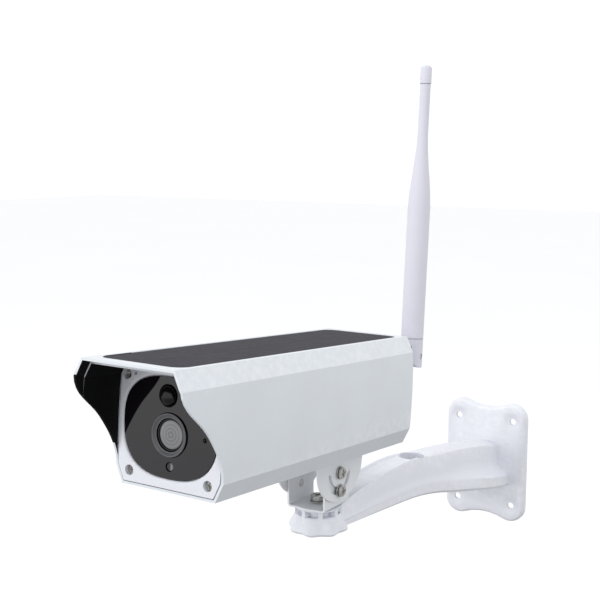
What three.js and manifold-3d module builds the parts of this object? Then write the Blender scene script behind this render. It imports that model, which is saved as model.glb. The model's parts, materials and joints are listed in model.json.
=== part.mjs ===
// Solar-powered security camera on a wall bracket: sub-parts as named closed solids.
// Millimetres, +Z up. The wall bracket's back face is the plane Y = 0, centred on the origin,
// and the camera looks along -Y. The camera body is tilted nose-up about the bracket's pivot.
import * as THREE from 'three';
import { mergeVertices } from 'three/addons/utils/BufferGeometryUtils.js';
import Module from 'manifold-3d';

const wasm = await Module();
wasm.setup();

// ---------------------------------------------------------------- driving dimensions
const GAP = 0.3;                      // clearance kept between separate pieces
const M3_HOLE = 1.8;                  // radius of the cover screws' holes
const M4_HOLE = 2.3;                  // radius of the bracket screws' holes
const M6_HOLE = 3.4;                  // radius of the pan bolt's and antenna connector's holes
const BODY_TILT = THREE.MathUtils.degToRad(4.6);

const HOUSING = {
  length: 220, height: 64.4, wall: 1.3, topWall: 3.3,
  bottomHalf: 28.3, lowCreaseHalf: 32.6, lowCreaseZ: 9.2,
  highCreaseHalf: 32.1, highCreaseZ: 55.2, topHalf: 27.4, bulge: 0.8,
  openFront: -188.3,                  // where the lower walls stop, under the visor
};
const PANEL = { half: 24.5, front: -212.7, rear: -5.7, corner: 7, recess: 1.7, thick: 0.9, bond: 0.3 };
const COVER_INSET = { side: 1.8, top: 3.8 };   // both end covers against the housing's outline
const GASKET_INSET = { side: 2.05, top: 4.05 };
const FRONT = {
  face: -188.6, thick: 5.6, seat: 2.4,
  windowInset: 0.6, windowHalf: 28.6, windowHalfHeight: 24.6, windowZ: 30.9,
  squareness: 2.6,                    // power of the window's superellipse
  lean: 0.025,                        // how much wider it is at the top than at mid-height
};
const SCREWS = [[-23.8, 7.2], [23.8, 7.2], [-27, 53.8], [27, 53.8]];
const CHANNEL = { outer: 3.6, bore: M3_HOLE, front: -181.5, rear: -7.2 };
const REAR = { face: -1.2, thick: 4.4 };
const LENS = { x: 0, z: 27.6, hole: 10.8, glass: 6.8, barrel: 7.8, proud: 1.1 };
const PIR = { x: -1.6, z: 46.2, radius: 5.1, rise: 3.8, hole: 5.6 };
const LIGHT = { x: 0.5, z: 12.4, hole: 2.3 };
const MIC = { x: 21, z: 28, hole: 1.2 };
const CELL = { radius: 9.1, length: 65, offset: 9.4, z: 15.6 };
const ANTENNA = { x: 21, y: 20, z: 50.5, radius: 6.9, neck: 3.2, tip: 3.5, top: 229 };
const BUTTON = { x: 4, z: 21, radius: 4 };
const PORT = { x: -13, z: 21.5, width: 18, height: 12 };

const PIVOT = { y: -254, z: 56.52 };  // tilt pivot and pan axis, from the wall bracket's origin
const PIVOT_TO_REAR = 50.7;
const PIVOT_TO_BASE = 12.15;
const EARS = { outer: 14.2, sheet: 1.2, shift: 1.4, halfWidth: 26.2, waist: 24.7, drop: 16.9, waistZ: 3 };
const BRACKET_SCREWS_Y = [-13, 13];   // screws up into the housing, from the pivot
const EAR_SCREW = {
  head: 3.3, shank: 2, washer: 3.9,
  washerStart: 14.5, washerEnd: 15.2, headStart: 15.5, headEnd: 17,
};
const SLOT = { radius: 10.6, width: 4.6, halfAngle: THREE.MathUtils.degToRad(78) };
const CRADLE = {
  outer: 12.7, sheet: 1.2, bend: 2.4, half: 13.4, frontCorner: 0.6, rearCorner: 2.6,
  bottom: -21.3, baseRadius: 14.4, topRadius: 9.4,
};
const PLATE = {
  half: 32.2, halfHeight: 46.3, lobe: 11.5, depth: 7.4,
  holeX: 22.2, holeZ: 33.15, hole: 2.5, pocket: 6.6, pocketDepth: 4.2,
};
const HEAD = {
  radius: 13.6, core: 9.4, top: -21.6, ribs: 8, ribWidth: 2.5, skirtTop: -26.6, bottom: -36, skirt: 17,
  lobe: 1, turn: THREE.MathUtils.degToRad(-7),
};
const NUT_WELL_DEPTH = 6.5;
const CABLE_HOLE = { x: 1.1, y: -136, halfLength: 10, halfWidth: 8.2, depth: 12 };

// ---------------------------------------------------------------- materials
function finish(color, roughness, metalness) {
  return new THREE.MeshStandardMaterial({ color, roughness, metalness });
}
const FINISH = {
  shell: () => finish(0xdfe3e8, 0.45, 0.15),
  plastic: () => finish(0xe9eaf0, 0.4, 0),
  radome: () => finish(0xe4e4ee, 0.45, 0),
  sheet: () => finish(0xd5d8dc, 0.4, 0.2),
  steel: () => finish(0xb9bcc0, 0.3, 1),
  brass: () => finish(0xc9a24a, 0.35, 1),
  window: () => finish(0x3c393d, 0.15, 0),
  black: () => finish(0x141416, 0.35, 0),
  glass: () => finish(0x6a6a70, 0.05, 0),
  cells: () => finish(0x3a3843, 0.25, 0),
  rubber: () => finish(0x202124, 0.8, 0),
  board: () => finish(0x1f5a35, 0.6, 0),
  battery: () => finish(0x2f6fb0, 0.4, 0),
};

// ---------------------------------------------------------------- solids
// A geometry as a manifold solid, with shared vertices merged.
function solid(geometry) {
  const bare = geometry.clone();
  bare.deleteAttribute('normal');
  bare.deleteAttribute('uv');
  const merged = mergeVertices(bare, 1e-4);
  const vertProperties = new Float32Array(merged.attributes.position.array);
  const triVerts = new Uint32Array(merged.index.array);
  return new wasm.Manifold(new wasm.Mesh({ numProp: 3, vertProperties, triVerts }));
}

function geometryOf(manifold) {
  const mesh = manifold.getMesh();
  const points = [];
  for (let i = 0; i < mesh.vertProperties.length; i += mesh.numProp) {
    points.push(mesh.vertProperties[i], mesh.vertProperties[i + 1], mesh.vertProperties[i + 2]);
  }
  const geometry = new THREE.BufferGeometry();
  geometry.setAttribute('position', new THREE.Float32BufferAttribute(points, 3));
  geometry.setIndex(Array.from(mesh.triVerts));
  return geometry;
}

const join = (first, ...rest) => rest.reduce((whole, piece) => whole.add(piece), first);
const cut = (first, ...rest) => rest.reduce((whole, piece) => whole.subtract(piece), first);

function outline(points) {
  return new THREE.Shape(points.map(([a, b]) => new THREE.Vector2(a, b)));
}

function extruded(shape, depth, curveSegments) {
  return new THREE.ExtrudeGeometry(shape, { depth, bevelEnabled: false, curveSegments });
}

// Outline in X and Z, extruded from y0 to y1.
function alongY(shape, y0, y1, steps = 12) {
  const geometry = extruded(shape, y1 - y0, steps);
  return solid(geometry.rotateX(Math.PI / 2).translate(0, y1, 0));
}

// Outline in Y and Z, extruded from x0 to x1.
function alongX(shape, x0, x1, steps = 12) {
  const geometry = extruded(shape, x1 - x0, steps);
  const turn = new THREE.Matrix4().makeBasis(
    new THREE.Vector3(0, 1, 0), new THREE.Vector3(0, 0, 1), new THREE.Vector3(1, 0, 0));
  return solid(geometry.applyMatrix4(turn).translate(x0, 0, 0));
}

// Outline in X and Y, extruded from z0 to z1.
function alongZ(shape, z0, z1, steps = 12) {
  const geometry = extruded(shape, z1 - z0, steps);
  return solid(geometry.translate(0, 0, z0));
}

function box(x0, x1, y0, y1, z0, z1) {
  const geometry = new THREE.BoxGeometry(x1 - x0, y1 - y0, z1 - z0);
  return solid(geometry.translate((x0 + x1) / 2, (y0 + y1) / 2, (z0 + z1) / 2));
}

function rodY(x, z, radius, y0, y1, sides = 20) {
  const geometry = new THREE.CylinderGeometry(radius, radius, y1 - y0, sides);
  return solid(geometry.translate(x, (y0 + y1) / 2, z));
}

function rodX(y, z, radius, x0, x1, sides = 20) {
  const geometry = new THREE.CylinderGeometry(radius, radius, x1 - x0, sides).rotateZ(-Math.PI / 2);
  return solid(geometry.translate((x0 + x1) / 2, y, z));
}

function rodZ(x, y, radius, z0, z1, sides = 20) {
  const geometry = new THREE.CylinderGeometry(radius, radius, z1 - z0, sides).rotateX(Math.PI / 2);
  return solid(geometry.translate(x, y, (z0 + z1) / 2));
}

// A profile of [radius, height] turned about Z.
function turned(profile, sides = 32) {
  const points = profile.map(([r, h]) => new THREE.Vector2(r, h));
  return new THREE.LatheGeometry(points, sides).rotateX(Math.PI / 2);
}

// The same about an axis along -Y, heights measured towards the front.
function turnedFront(profile, x, z, sides = 32) {
  return solid(turned(profile, sides).rotateX(Math.PI / 2).translate(x, 0, z));
}

// A skin over rings of equal point counts, closed by a fan at each end.
function loft(rings) {
  const count = rings[0].length;
  const points = rings.flat();
  const index = [];
  for (let ring = 0; ring + 1 < rings.length; ring += 1) {
    for (let i = 0; i < count; i += 1) {
      const a = ring * count + i;
      const b = ring * count + (i + 1) % count;
      index.push(a, b, b + count, a, b + count, a + count);
    }
  }
  for (const [ring, flip] of [[0, true], [rings.length - 1, false]]) {
    const centre = rings[ring].reduce((sum, p) => sum.add(p), new THREE.Vector3()).divideScalar(count);
    points.push(centre);
    for (let i = 0; i < count; i += 1) {
      const a = ring * count + i;
      const b = ring * count + (i + 1) % count;
      index.push(...(flip ? [b, a] : [a, b]), points.length - 1);
    }
  }
  const geometry = new THREE.BufferGeometry().setFromPoints(points);
  geometry.setIndex(index);
  return solid(geometry);
}

const root = new THREE.Group();
const swivel = new THREE.Group();
const body = new THREE.Group();
const housing = new THREE.Group();
swivel.position.set(0, PIVOT.y, PIVOT.z);
body.rotation.x = -BODY_TILT;
housing.position.set(0, PIVOT_TO_REAR, PIVOT_TO_BASE);
root.add(swivel);
swivel.add(body);
body.add(housing);

function add(group, name, manifold, material) {
  const mesh = new THREE.Mesh(geometryOf(manifold), material());
  mesh.name = name;
  group.add(mesh);
}

// ---------------------------------------------------------------- shared outlines
// The extrusion's section, moved inwards by the wall on the sides and by top on the top.
function section(inset, top) {
  const h = HOUSING;
  const side = inset * 1.02;
  const low = h.lowCreaseZ + inset * 0.28;
  const middle = (low + h.highCreaseZ) / 2;
  const high = h.highCreaseZ - (top > inset ? top - inset : 0) * 0.6 - inset * 0.3;
  const shape = new THREE.Shape();
  shape.moveTo(h.bottomHalf - inset * 0.64, inset);
  shape.lineTo(h.lowCreaseHalf - side, low);
  shape.quadraticCurveTo(h.highCreaseHalf - side + 2 * h.bulge, middle, h.highCreaseHalf - side, high);
  shape.lineTo(h.topHalf - inset * 0.55, h.height - top);
  shape.lineTo(-h.topHalf + inset * 0.55, h.height - top);
  shape.lineTo(-h.highCreaseHalf + side, high);
  shape.quadraticCurveTo(-h.highCreaseHalf + side - 2 * h.bulge, middle, -h.lowCreaseHalf + side, low);
  shape.lineTo(-h.bottomHalf + inset * 0.64, inset);
  shape.closePath();
  return shape;
}

// The face plate's window: a rounded shield, squarer than an ellipse.
function shield(inset, sides = 48) {
  const power = 2 / FRONT.squareness;
  const points = [];
  for (let i = 0; i < sides; i += 1) {
    const angle = (2 * Math.PI * i) / sides;
    const c = Math.cos(angle);
    const s = Math.sin(angle);
    const rise = Math.sign(s) * Math.abs(s) ** power;
    const widening = 1 + FRONT.lean * rise;
    points.push([
      (FRONT.windowHalf - inset) * widening * Math.sign(c) * Math.abs(c) ** power,
      FRONT.windowZ + (FRONT.windowHalfHeight - inset) * rise,
    ]);
  }
  return outline(points);
}

function roundedRectangle(x0, x1, y0, y1, r) {
  const shape = new THREE.Shape();
  shape.moveTo(x0 + r, y0);
  shape.lineTo(x1 - r, y0);
  shape.absarc(x1 - r, y0 + r, r, -Math.PI / 2, 0, false);
  shape.lineTo(x1, y1 - r);
  shape.absarc(x1 - r, y1 - r, r, 0, Math.PI / 2, false);
  shape.lineTo(x0 + r, y1);
  shape.absarc(x0 + r, y1 - r, r, Math.PI / 2, Math.PI, false);
  shape.lineTo(x0, y0 + r);
  shape.absarc(x0 + r, y0 + r, r, Math.PI, 1.5 * Math.PI, false);
  return shape;
}

// ---------------------------------------------------------------- housing with sun visor
function makeHousing() {
  const h = HOUSING;
  // Side view of what the saw takes away: the visor's S-shaped front edge.
  const away = new THREE.Shape();
  away.moveTo(-h.length - 10, -5);
  away.lineTo(h.openFront, -5);
  away.lineTo(h.openFront, 11);
  away.bezierCurveTo(-189.2, 19, -194, 26, -201, 34);
  away.bezierCurveTo(-208, 42, -219, 45.5, -220, 56);
  away.lineTo(-h.length - 10, 56);
  away.closePath();
  const c = CHANNEL;
  const rails = SCREWS.map(([x, z]) => rodY(x, z, c.outer, c.front, c.rear, 16));
  const webs = SCREWS.slice(0, 2).map(([x, z]) => box(x - 1.5, x + 1.5, c.front, c.rear, 1, z));
  const channels = SCREWS.map(([x, z]) => rodY(x, z, c.bore, -190, 5, 12));
  const bracketBosses = BRACKET_SCREWS_Y.map((y) => rodZ(0, y - PIVOT_TO_REAR, 5, 1, 4.6, 16));
  const bracketHoles = BRACKET_SCREWS_Y.map((y) => rodZ(0, y - PIVOT_TO_REAR, M4_HOLE, -1, 3.6, 12));
  const r = PANEL;
  const recess = alongZ(roundedRectangle(-r.half - GAP, r.half + GAP, r.front - GAP, r.rear + GAP, r.corner),
    h.height - r.recess, h.height + 5, 6);
  const outer = alongY(section(0, 0), -h.length, 0, 6);
  const inner = alongY(section(h.wall, h.topWall), -h.length - 5, 5, 6);
  const bosses = join(...rails, ...webs, ...bracketBosses);
  // The roof is as thin as the walls ahead of the panel's recess.
  const thinRim = alongY(section(h.wall, h.wall), -h.length - 1, r.front - h.wall, 6);
  const tube = join(outer.subtract(inner), outer.intersect(bosses)).subtract(thinRim);
  return cut(tube, alongX(away, -50, 50, 8), recess, ...channels, ...bracketHoles);
}

function makePanel() {
  const r = PANEL;
  const z0 = HOUSING.height - r.recess + r.bond + GAP;
  return alongZ(roundedRectangle(-r.half, r.half, r.front, r.rear, r.corner - GAP), z0, z0 + r.thick, 6);
}

// The bead of adhesive that seats the panel in its recess.
function makePanelBond() {
  const r = PANEL;
  const z0 = HOUSING.height - r.recess + GAP / 2;
  const ring = roundedRectangle(-r.half + 1, r.half - 1, r.front + 1, r.rear - 1, r.corner - 1);
  ring.holes.push(roundedRectangle(-r.half + 5, r.half - 5, r.front + 5, r.rear - 5, r.corner - 4));
  return alongZ(ring, z0, z0 + r.bond, 4);
}

// ---------------------------------------------------------------- front end
function makeFrontPlate() {
  const f = FRONT;
  const plate = alongY(section(COVER_INSET.side, COVER_INSET.top), f.face, f.face + f.thick, 6);
  const pocket = alongY(shield(0), f.face - 1, f.face + f.windowInset + 1.8);
  const opening = alongY(shield(f.seat, 32), f.face - 1, f.face + 10);
  const holes = SCREWS.map(([x, z]) => rodY(x, z, M3_HOLE, f.face - 1, f.face + 10, 12));
  const wells = SCREWS.map(([x, z]) => rodY(x, z, 2.6, f.face - 1, f.face + 3.8, 20));
  const drain = rodY(-21.6, 54.6, 0.7, f.face - 1, f.face + 10, 10);
  return cut(plate, pocket, opening, ...holes, ...wells, drain);
}

function makeFrontGasket() {
  const y0 = FRONT.face + FRONT.thick + GAP;
  const pad = alongY(section(GASKET_INSET.side, GASKET_INSET.top), y0, y0 + 0.8, 4);
  const opening = alongY(shield(FRONT.seat, 32), y0 - 1, y0 + 2);
  const holes = SCREWS.map(([x, z]) => rodY(x, z, 2.0, y0 - 1, y0 + 2, 12));
  return cut(pad, opening, ...holes);
}

const WINDOW_FACE = FRONT.face + FRONT.windowInset;

function makeWindow() {
  const pane = alongY(shield(GAP), WINDOW_FACE, WINDOW_FACE + 1.5);
  return cut(pane,
    rodY(LENS.x, LENS.z, LENS.hole, WINDOW_FACE - 1, WINDOW_FACE + 4, 40),
    rodY(PIR.x, PIR.z, PIR.hole, WINDOW_FACE - 1, WINDOW_FACE + 4, 28),
    rodY(LIGHT.x, LIGHT.z, LIGHT.hole, WINDOW_FACE - 1, WINDOW_FACE + 4, 16),
    rodY(MIC.x, MIC.z, MIC.hole, WINDOW_FACE - 1, WINDOW_FACE + 4, 12));
}

// The ring round the lens: it stands out of the window's opening and slopes in to the barrel.
function makeLensBezel() {
  const front = LENS.proud - WINDOW_FACE;
  const rear = -WINDOW_FACE - 3.8;
  const outer = LENS.hole - GAP;
  const inner = LENS.barrel + GAP;
  return turnedFront([
    [inner, rear], [outer, rear], [outer, front - 0.3], [outer - 0.3, front],
    [outer - 0.7, front], [inner + 0.5, front - 1.1], [inner, front - 1.1], [inner, rear],
  ], LENS.x, LENS.z, 40);
}

function makeLensBarrel() {
  const front = -WINDOW_FACE - 0.5;
  return turnedFront([
    [0, front - 10.6], [5.9, front - 10.6], [5.9, front - 5.4], [LENS.barrel, front - 5.4],
    [LENS.barrel, front - 0.3], [LENS.barrel - 0.3, front], [LENS.glass + 0.5, front],
    [LENS.glass + GAP, front - 0.5], [LENS.glass + GAP, front - 2.2], [0, front - 2.2],
  ], LENS.x, LENS.z, 32);
}

function makeLensGlass() {
  const front = -WINDOW_FACE - 0.7;
  return turnedFront([
    [0, front - 1.2], [LENS.glass, front - 1.2], [LENS.glass, front - 0.45],
    [LENS.glass * 0.72, front - 0.16], [LENS.glass * 0.4, front - 0.04], [0, front],
  ], LENS.x, LENS.z, 32);
}

const BOARD_Y = -171;

function makeLensHolder() {
  const base = box(LENS.x - 8, LENS.x + 8, BOARD_Y - 3.2, BOARD_Y - 0.3, LENS.z - 8, LENS.z + 8);
  const tube = rodY(LENS.x, LENS.z, 7.8, BOARD_Y - 9.6, BOARD_Y - 2, 28);
  const bore = rodY(LENS.x, LENS.z, 6.2, BOARD_Y - 20, BOARD_Y - 2.4, 28);
  const well = box(LENS.x - 5, LENS.x + 5, BOARD_Y - 4, BOARD_Y + 1, LENS.z - 5, LENS.z + 5);
  return cut(join(base, tube), bore, well);
}

function makeFrontBoard() {
  const pcb = box(-25.6, 25.6, BOARD_Y, BOARD_Y + 1.6, 4.6, 56.4);
  const sensor = box(LENS.x - 3.4, LENS.x + 3.4, BOARD_Y - 1.2, BOARD_Y + 0.4, LENS.z - 3, LENS.z + 3);
  const chip = box(-22, -14, BOARD_Y - 1.1, BOARD_Y + 0.4, 30, 38);
  const socket = box(12, 22, BOARD_Y + 1.2, BOARD_Y + 5, 38, 44);
  const notches = SCREWS.map(([x, z]) => rodY(x, z, CHANNEL.outer + GAP + 0.2, BOARD_Y - 3, BOARD_Y + 6, 20));
  return cut(join(pcb, sensor, chip, socket), ...notches);
}

function makePirLens() {
  const front = -WINDOW_FACE;
  const r = PIR.radius;
  const dome = [];
  const shell = [];
  const steps = 5;
  for (let step = 0; step <= steps; step += 1) {
    const angle = (Math.PI / 2) * (step / steps);
    dome.push([r * Math.cos(angle), front - 0.3 + PIR.rise * Math.sin(angle)]);
    shell.push([(r - 0.9) * Math.sin(angle), front - 0.3 + (PIR.rise - 0.9) * Math.cos(angle)]);
  }
  return turnedFront([
    [r - 0.9, front - 3.4], [r + 0.5, front - 3.4], [r + 0.5, front - 2.0], [r, front - 2.0],
    ...dome, ...shell, [r - 0.9, front - 3.4],
  ], PIR.x, PIR.z, 24);
}

// A round part standing off the front board on thin legs.
function onLegs(x, z, radius, front, rear, legs, spread) {
  const can = rodY(x, z, radius, front, rear, 20);
  const pins = [];
  for (let i = 0; i < legs; i += 1) {
    const angle = (2 * Math.PI * i) / legs + Math.PI / 4;
    const pinX = x + spread * Math.cos(angle);
    const pinZ = z + spread * Math.sin(angle);
    pins.push(rodY(pinX, pinZ, 0.35, rear - 0.5, BOARD_Y - GAP, 8));
  }
  return join(can, ...pins);
}

// A Phillips screw along Y: head at the front, shank behind it.
function screwY(x, z, front, length, headRadius, shankRadius, headThick, direction) {
  const d = direction;
  const y = (a, b) => (d > 0 ? [front + a, front + b] : [front - b, front - a]);
  const head = rodY(x, z, headRadius, ...y(0, headThick), 16);
  const shank = rodY(x, z, shankRadius, ...y(headThick - 0.2, length), 10);
  const arm = headRadius * 0.62;
  const slim = headRadius * 0.17;
  const recess = y(-1, headThick * 0.6);
  return cut(join(head, shank),
    box(x - arm, x + arm, ...recess, z - slim, z + slim),
    box(x - slim, x + slim, ...recess, z - arm, z + arm));
}

// ---------------------------------------------------------------- inside
function makeBatteryHolder() {
  const z = 5;
  const tray = box(-19.8, 19.8, -168, -29.4, z, z + 20);
  const space = box(-18.8, 18.8, -166.6, -30.8, z + 1.2, z + 40);
  const sides = box(-25, 25, -152, -45.4, z + 9, z + 40);
  const divider = box(-19.2, 19.2, -99.3, -98.1, z, z + 8);
  return join(cut(tray, space, sides), divider);
}

function makeMainBoard() {
  const z = 26;
  const pcb = box(-24, 24, -166, -62, z, z + 1.6);
  const parts = [
    box(-9, 9, -140, -122, z + 1.4, z + 3),
    box(-18, -8, -110, -98, z + 1.4, z + 2.8),
    box(6, 20, -112, -96, z + 1.4, z + 3.4),
    box(-22, -12, -158, -150, z + 1.4, z + 6),
    rodZ(16, -150, 4, z + 1.4, z + 9, 16),
    rodZ(-16, -74, 4, z + 1.4, z + 9, 16),
    box(8, 20, -76, -66, z + 1.4, z + 6),
  ];
  return join(pcb, ...parts);
}

// ---------------------------------------------------------------- rear end
function makeRearCap() {
  const y1 = REAR.face;
  const y0 = y1 - REAR.thick;
  const plate = alongY(section(COVER_INSET.side, COVER_INSET.top), y0, y1, 6);
  const holes = SCREWS.map(([x, z]) => rodY(x, z, M3_HOLE, y0 - 1, y1 + 1, 12));
  const wells = SCREWS.map(([x, z]) => rodY(x, z, 2.9, y1 - 2.2, y1 + 1, 18));
  const p = PORT;
  const flapBed = box(p.x - p.width / 2 - GAP, p.x + p.width / 2 + GAP, y1 - 2.2, y1 + 1,
    p.z - p.height / 2 - GAP, p.z + p.height / 2 + GAP);
  const port = box(p.x - 7, p.x + 7, y0 - 1, y1 + 1, p.z - 3.6, p.z + 4.6);
  return cut(plate, ...holes, ...wells, flapBed, port,
    rodY(BUTTON.x, BUTTON.z, BUTTON.radius + GAP, y0 - 1, y1 + 1, 24),
    rodY(ANTENNA.x, ANTENNA.z, M6_HOLE, y0 - 1, y1 + 1, 20));
}

function makeRearGasket() {
  const y1 = REAR.face - REAR.thick - GAP;
  const pad = alongY(section(GASKET_INSET.side, GASKET_INSET.top), y1 - 0.8, y1, 4);
  const opening = box(-20, 14, y1 - 2, y1 + 1, 12, 50);
  const holes = SCREWS.map(([x, z]) => rodY(x, z, 2.0, y1 - 2, y1 + 1, 12));
  return cut(pad, opening, ...holes, rodY(ANTENNA.x, ANTENNA.z, 3.6, y1 - 2, y1 + 1, 16));
}

// Small board behind the cap with the card and charging sockets and the switch.
function makeRearBoard() {
  const y = -12;
  return join(box(-21, 12, y - 1.6, y, 13, 33),
    box(PORT.x - 6, PORT.x + 6, y - 0.4, y + 5, PORT.z - 2.6, PORT.z + 2.4),
    box(BUTTON.x - 3, BUTTON.x + 3, y - 0.4, y + 3, BUTTON.z - 3, BUTTON.z + 3));
}

function makePowerButton() {
  const y1 = REAR.face + 0.6;
  return join(rodY(BUTTON.x, BUTTON.z, BUTTON.radius, REAR.face - 4, y1, 24),
    rodY(BUTTON.x, BUTTON.z, 1.6, REAR.face - 6, REAR.face - 3.5, 12));
}

function makePortCover() {
  const p = PORT;
  const y1 = REAR.face;
  const flap = box(p.x - p.width / 2, p.x + p.width / 2, y1 - 1.8, y1,
    p.z - p.height / 2, p.z + p.height / 2);
  const plug = box(p.x - 6, p.x + 6, y1 - 3.4, y1 - 1.6, p.z - 2.6, p.z + 2.4);
  const tab = box(p.x - 3, p.x + 3, y1 - 0.5, y1 + 1, p.z + p.height / 2 - 2, p.z + p.height / 2);
  return join(flap, plug, tab);
}

// ---------------------------------------------------------------- antenna
function makeAntennaConnector() {
  return rodY(ANTENNA.x, ANTENNA.z, 3.1, -10.5, 4.6, 20);
}

function makeAntennaNut() {
  const a = ANTENNA;
  return cut(rodY(a.x, a.z, 5, REAR.face + GAP, REAR.face + 2.6, 6), rodY(a.x, a.z, M6_HOLE, -5, 10, 20));
}

// Turning base: a sleeve over the connector and the tongue of the knuckle.
function makeAntennaBase() {
  const a = ANTENNA;
  const sleeve = rodY(a.x, a.z, 5.2, 1.9, 11.8, 28);
  const tongue = new THREE.Shape();
  tongue.moveTo(11, a.z - 5);
  tongue.lineTo(a.y, a.z - 6);
  tongue.absarc(a.y, a.z, 6, -Math.PI / 2, Math.PI / 2, false);
  tongue.lineTo(11, a.z + 5);
  tongue.closePath();
  return cut(join(sleeve, alongX(tongue, a.x - 2.7, a.x + 2.7, 16)),
    rodY(a.x, a.z, M6_HOLE, 0, 5, 20),
    rodX(a.y, a.z, 1.8, a.x - 10, a.x + 10, 16));
}

const ELBOW_TOP = 61.4;

// Folding half of the knuckle: two cheeks either side of the tongue.
function makeAntennaElbow() {
  const a = ANTENNA;
  const profile = new THREE.Shape();
  profile.moveTo(a.y + a.radius, ELBOW_TOP);
  profile.lineTo(a.y - a.radius, ELBOW_TOP);
  profile.lineTo(a.y - a.radius, a.z);
  profile.absarc(a.y, a.z, a.radius, Math.PI, 2 * Math.PI, false);
  profile.closePath();
  const block = alongX(profile, a.x - 10, a.x + 10, 16);
  const round = rodZ(a.x, a.y, a.radius, 40, ELBOW_TOP, 32);
  return cut(block.intersect(round),
    box(a.x - 3.1, a.x + 3.1, a.y - 10, a.y + 10, 40, a.z + 6.6),
    rodX(a.y, a.z, 1.8, a.x - 10, a.x + 10, 16));
}

function makeAntennaRod() {
  const a = ANTENNA;
  const profile = [
    [0, ELBOW_TOP + GAP], [a.radius, ELBOW_TOP + GAP], [a.radius + 0.1, 100], [a.radius, 143],
    [a.radius - 0.5, 152], [a.neck + 1.2, 170], [a.neck + 0.3, 180], [a.neck, 188],
    [a.neck, a.top - 11.6], [a.neck - 1, a.top - 11.6], [a.neck - 1, a.top - 6], [0, a.top - 6],
  ];
  return solid(turned(profile, 32).translate(a.x, a.y, 0));
}

function makeAntennaTip() {
  const a = ANTENNA;
  const profile = [[a.neck - 0.7, a.top - 11.3], [a.tip, a.top - 11.3], [a.tip, a.top - 2]];
  for (let step = 1; step <= 4; step += 1) {
    const angle = (Math.PI / 2) * (step / 4);
    profile.push([a.tip * Math.cos(angle), a.top - 2 + 2 * Math.sin(angle)]);
  }
  profile.push([0, a.top - 5.7], [a.neck - 0.7, a.top - 5.7], [a.neck - 0.7, a.top - 11.3]);
  return solid(turned(profile, 24).translate(a.x, a.y, 0));
}

// ---------------------------------------------------------------- tilt bracket
function slotShape(radius, width, halfAngle) {
  const down = -Math.PI / 2;
  const shape = new THREE.Shape();
  const end = (angle, from, to) => {
    shape.absarc(radius * Math.cos(angle), radius * Math.sin(angle), width / 2, from, to, false);
  };
  shape.absarc(0, 0, radius + width / 2, down - halfAngle, down + halfAngle, false);
  end(down + halfAngle, down + halfAngle, down + halfAngle + Math.PI);
  shape.absarc(0, 0, radius - width / 2, down + halfAngle, down - halfAngle, true);
  end(down - halfAngle, down - halfAngle + Math.PI, down - halfAngle + 2 * Math.PI);
  return shape;
}

function makeUpperBracket() {
  const e = EARS;
  const top = PIVOT_TO_BASE - GAP;
  const ear = new THREE.Shape();
  ear.moveTo(e.shift + e.halfWidth, top);
  ear.lineTo(e.shift - e.halfWidth, top);
  ear.lineTo(e.shift - e.waist, e.waistZ);
  ear.absellipse(e.shift, e.waistZ, e.waist, e.drop + e.waistZ, Math.PI, 2 * Math.PI, false, 0);
  ear.closePath();
  const block = alongX(ear, -e.outer, e.outer, 20);
  const inside = box(-e.outer + e.sheet, e.outer - e.sheet, -50, 50, -50, top - e.sheet);
  return cut(block, inside,
    alongX(slotShape(SLOT.radius, SLOT.width, SLOT.halfAngle), -50, 50, 8),
    rodX(0, 0, M4_HOLE, -50, 50, 12),
    ...BRACKET_SCREWS_Y.map((y) => rodZ(0, y, M4_HOLE, 0, 50, 12)));
}

function makeLowerBracket() {
  const c = CRADLE;
  const lean = THREE.MathUtils.degToRad(14);
  const ear = new THREE.Shape();
  ear.absarc(-c.half + c.frontCorner, c.bottom + c.frontCorner, c.frontCorner, Math.PI, 1.5 * Math.PI, false);
  ear.absarc(c.half - c.rearCorner, c.bottom + c.rearCorner, c.rearCorner, 1.5 * Math.PI, 2 * Math.PI, false);
  ear.lineTo(c.half, -4);
  ear.absarc(0, 0, c.topRadius, lean, Math.PI - lean, false);
  ear.lineTo(-c.half, -4);
  ear.closePath();
  const disc = rodZ(0, 0, c.baseRadius, c.bottom, c.bottom + c.sheet, 40);
  const base = disc.intersect(box(-c.outer + c.bend, c.outer - c.bend, -20, 20, c.bottom, 0));
  // The sheet is bent round the two lower edges.
  const bent = alongY(roundedRectangle(-c.outer, c.outer, c.bottom, 40, c.bend), -20, 20, 4);
  const inner = c.outer - c.sheet;
  const cavity = roundedRectangle(-inner, inner, c.bottom + c.sheet, 50, c.bend - c.sheet);
  const inside = alongY(cavity, -50, 50, 4);
  return cut(join(alongX(ear, -c.outer, c.outer, 8).intersect(bent), base), inside,
    rodX(0, 0, M4_HOLE, -50, 50, 12),
    rodX(0, -SLOT.radius, M4_HOLE, -50, 50, 12),
    rodZ(0, 0, M6_HOLE, -50, -10, 20));
}

// A pan-head screw through both ears on one side (side is +1 or -1).
function makeEarScrew(side, z) {
  const e = EAR_SCREW;
  const span = (a, b) => (side > 0 ? [a, b] : [-b, -a]);
  const head = rodX(0, z, e.head, ...span(e.headStart, e.headEnd), 20);
  const shank = rodX(0, z, e.shank, ...span(CRADLE.outer - CRADLE.sheet, e.headStart + 0.2), 12);
  const recess = span(e.headEnd - 1, e.headEnd + 1);
  return cut(join(head, shank), boxAt(recess, -2.1, 2.1, z - 0.55, z + 0.55),
    boxAt(recess, -0.55, 0.55, z - 2.1, z + 2.1));
}

function boxAt([x0, x1], y0, y1, z0, z1) {
  return box(x0, x1, y0, y1, z0, z1);
}

function makeEarWasher(side, z) {
  const e = EAR_SCREW;
  const [x0, x1] = side > 0 ? [e.washerStart, e.washerEnd] : [-e.washerEnd, -e.washerStart];
  return cut(rodX(0, z, e.washer, x0, x1, 20), rodX(0, z, M4_HOLE, -50, 50, 12));
}

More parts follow.
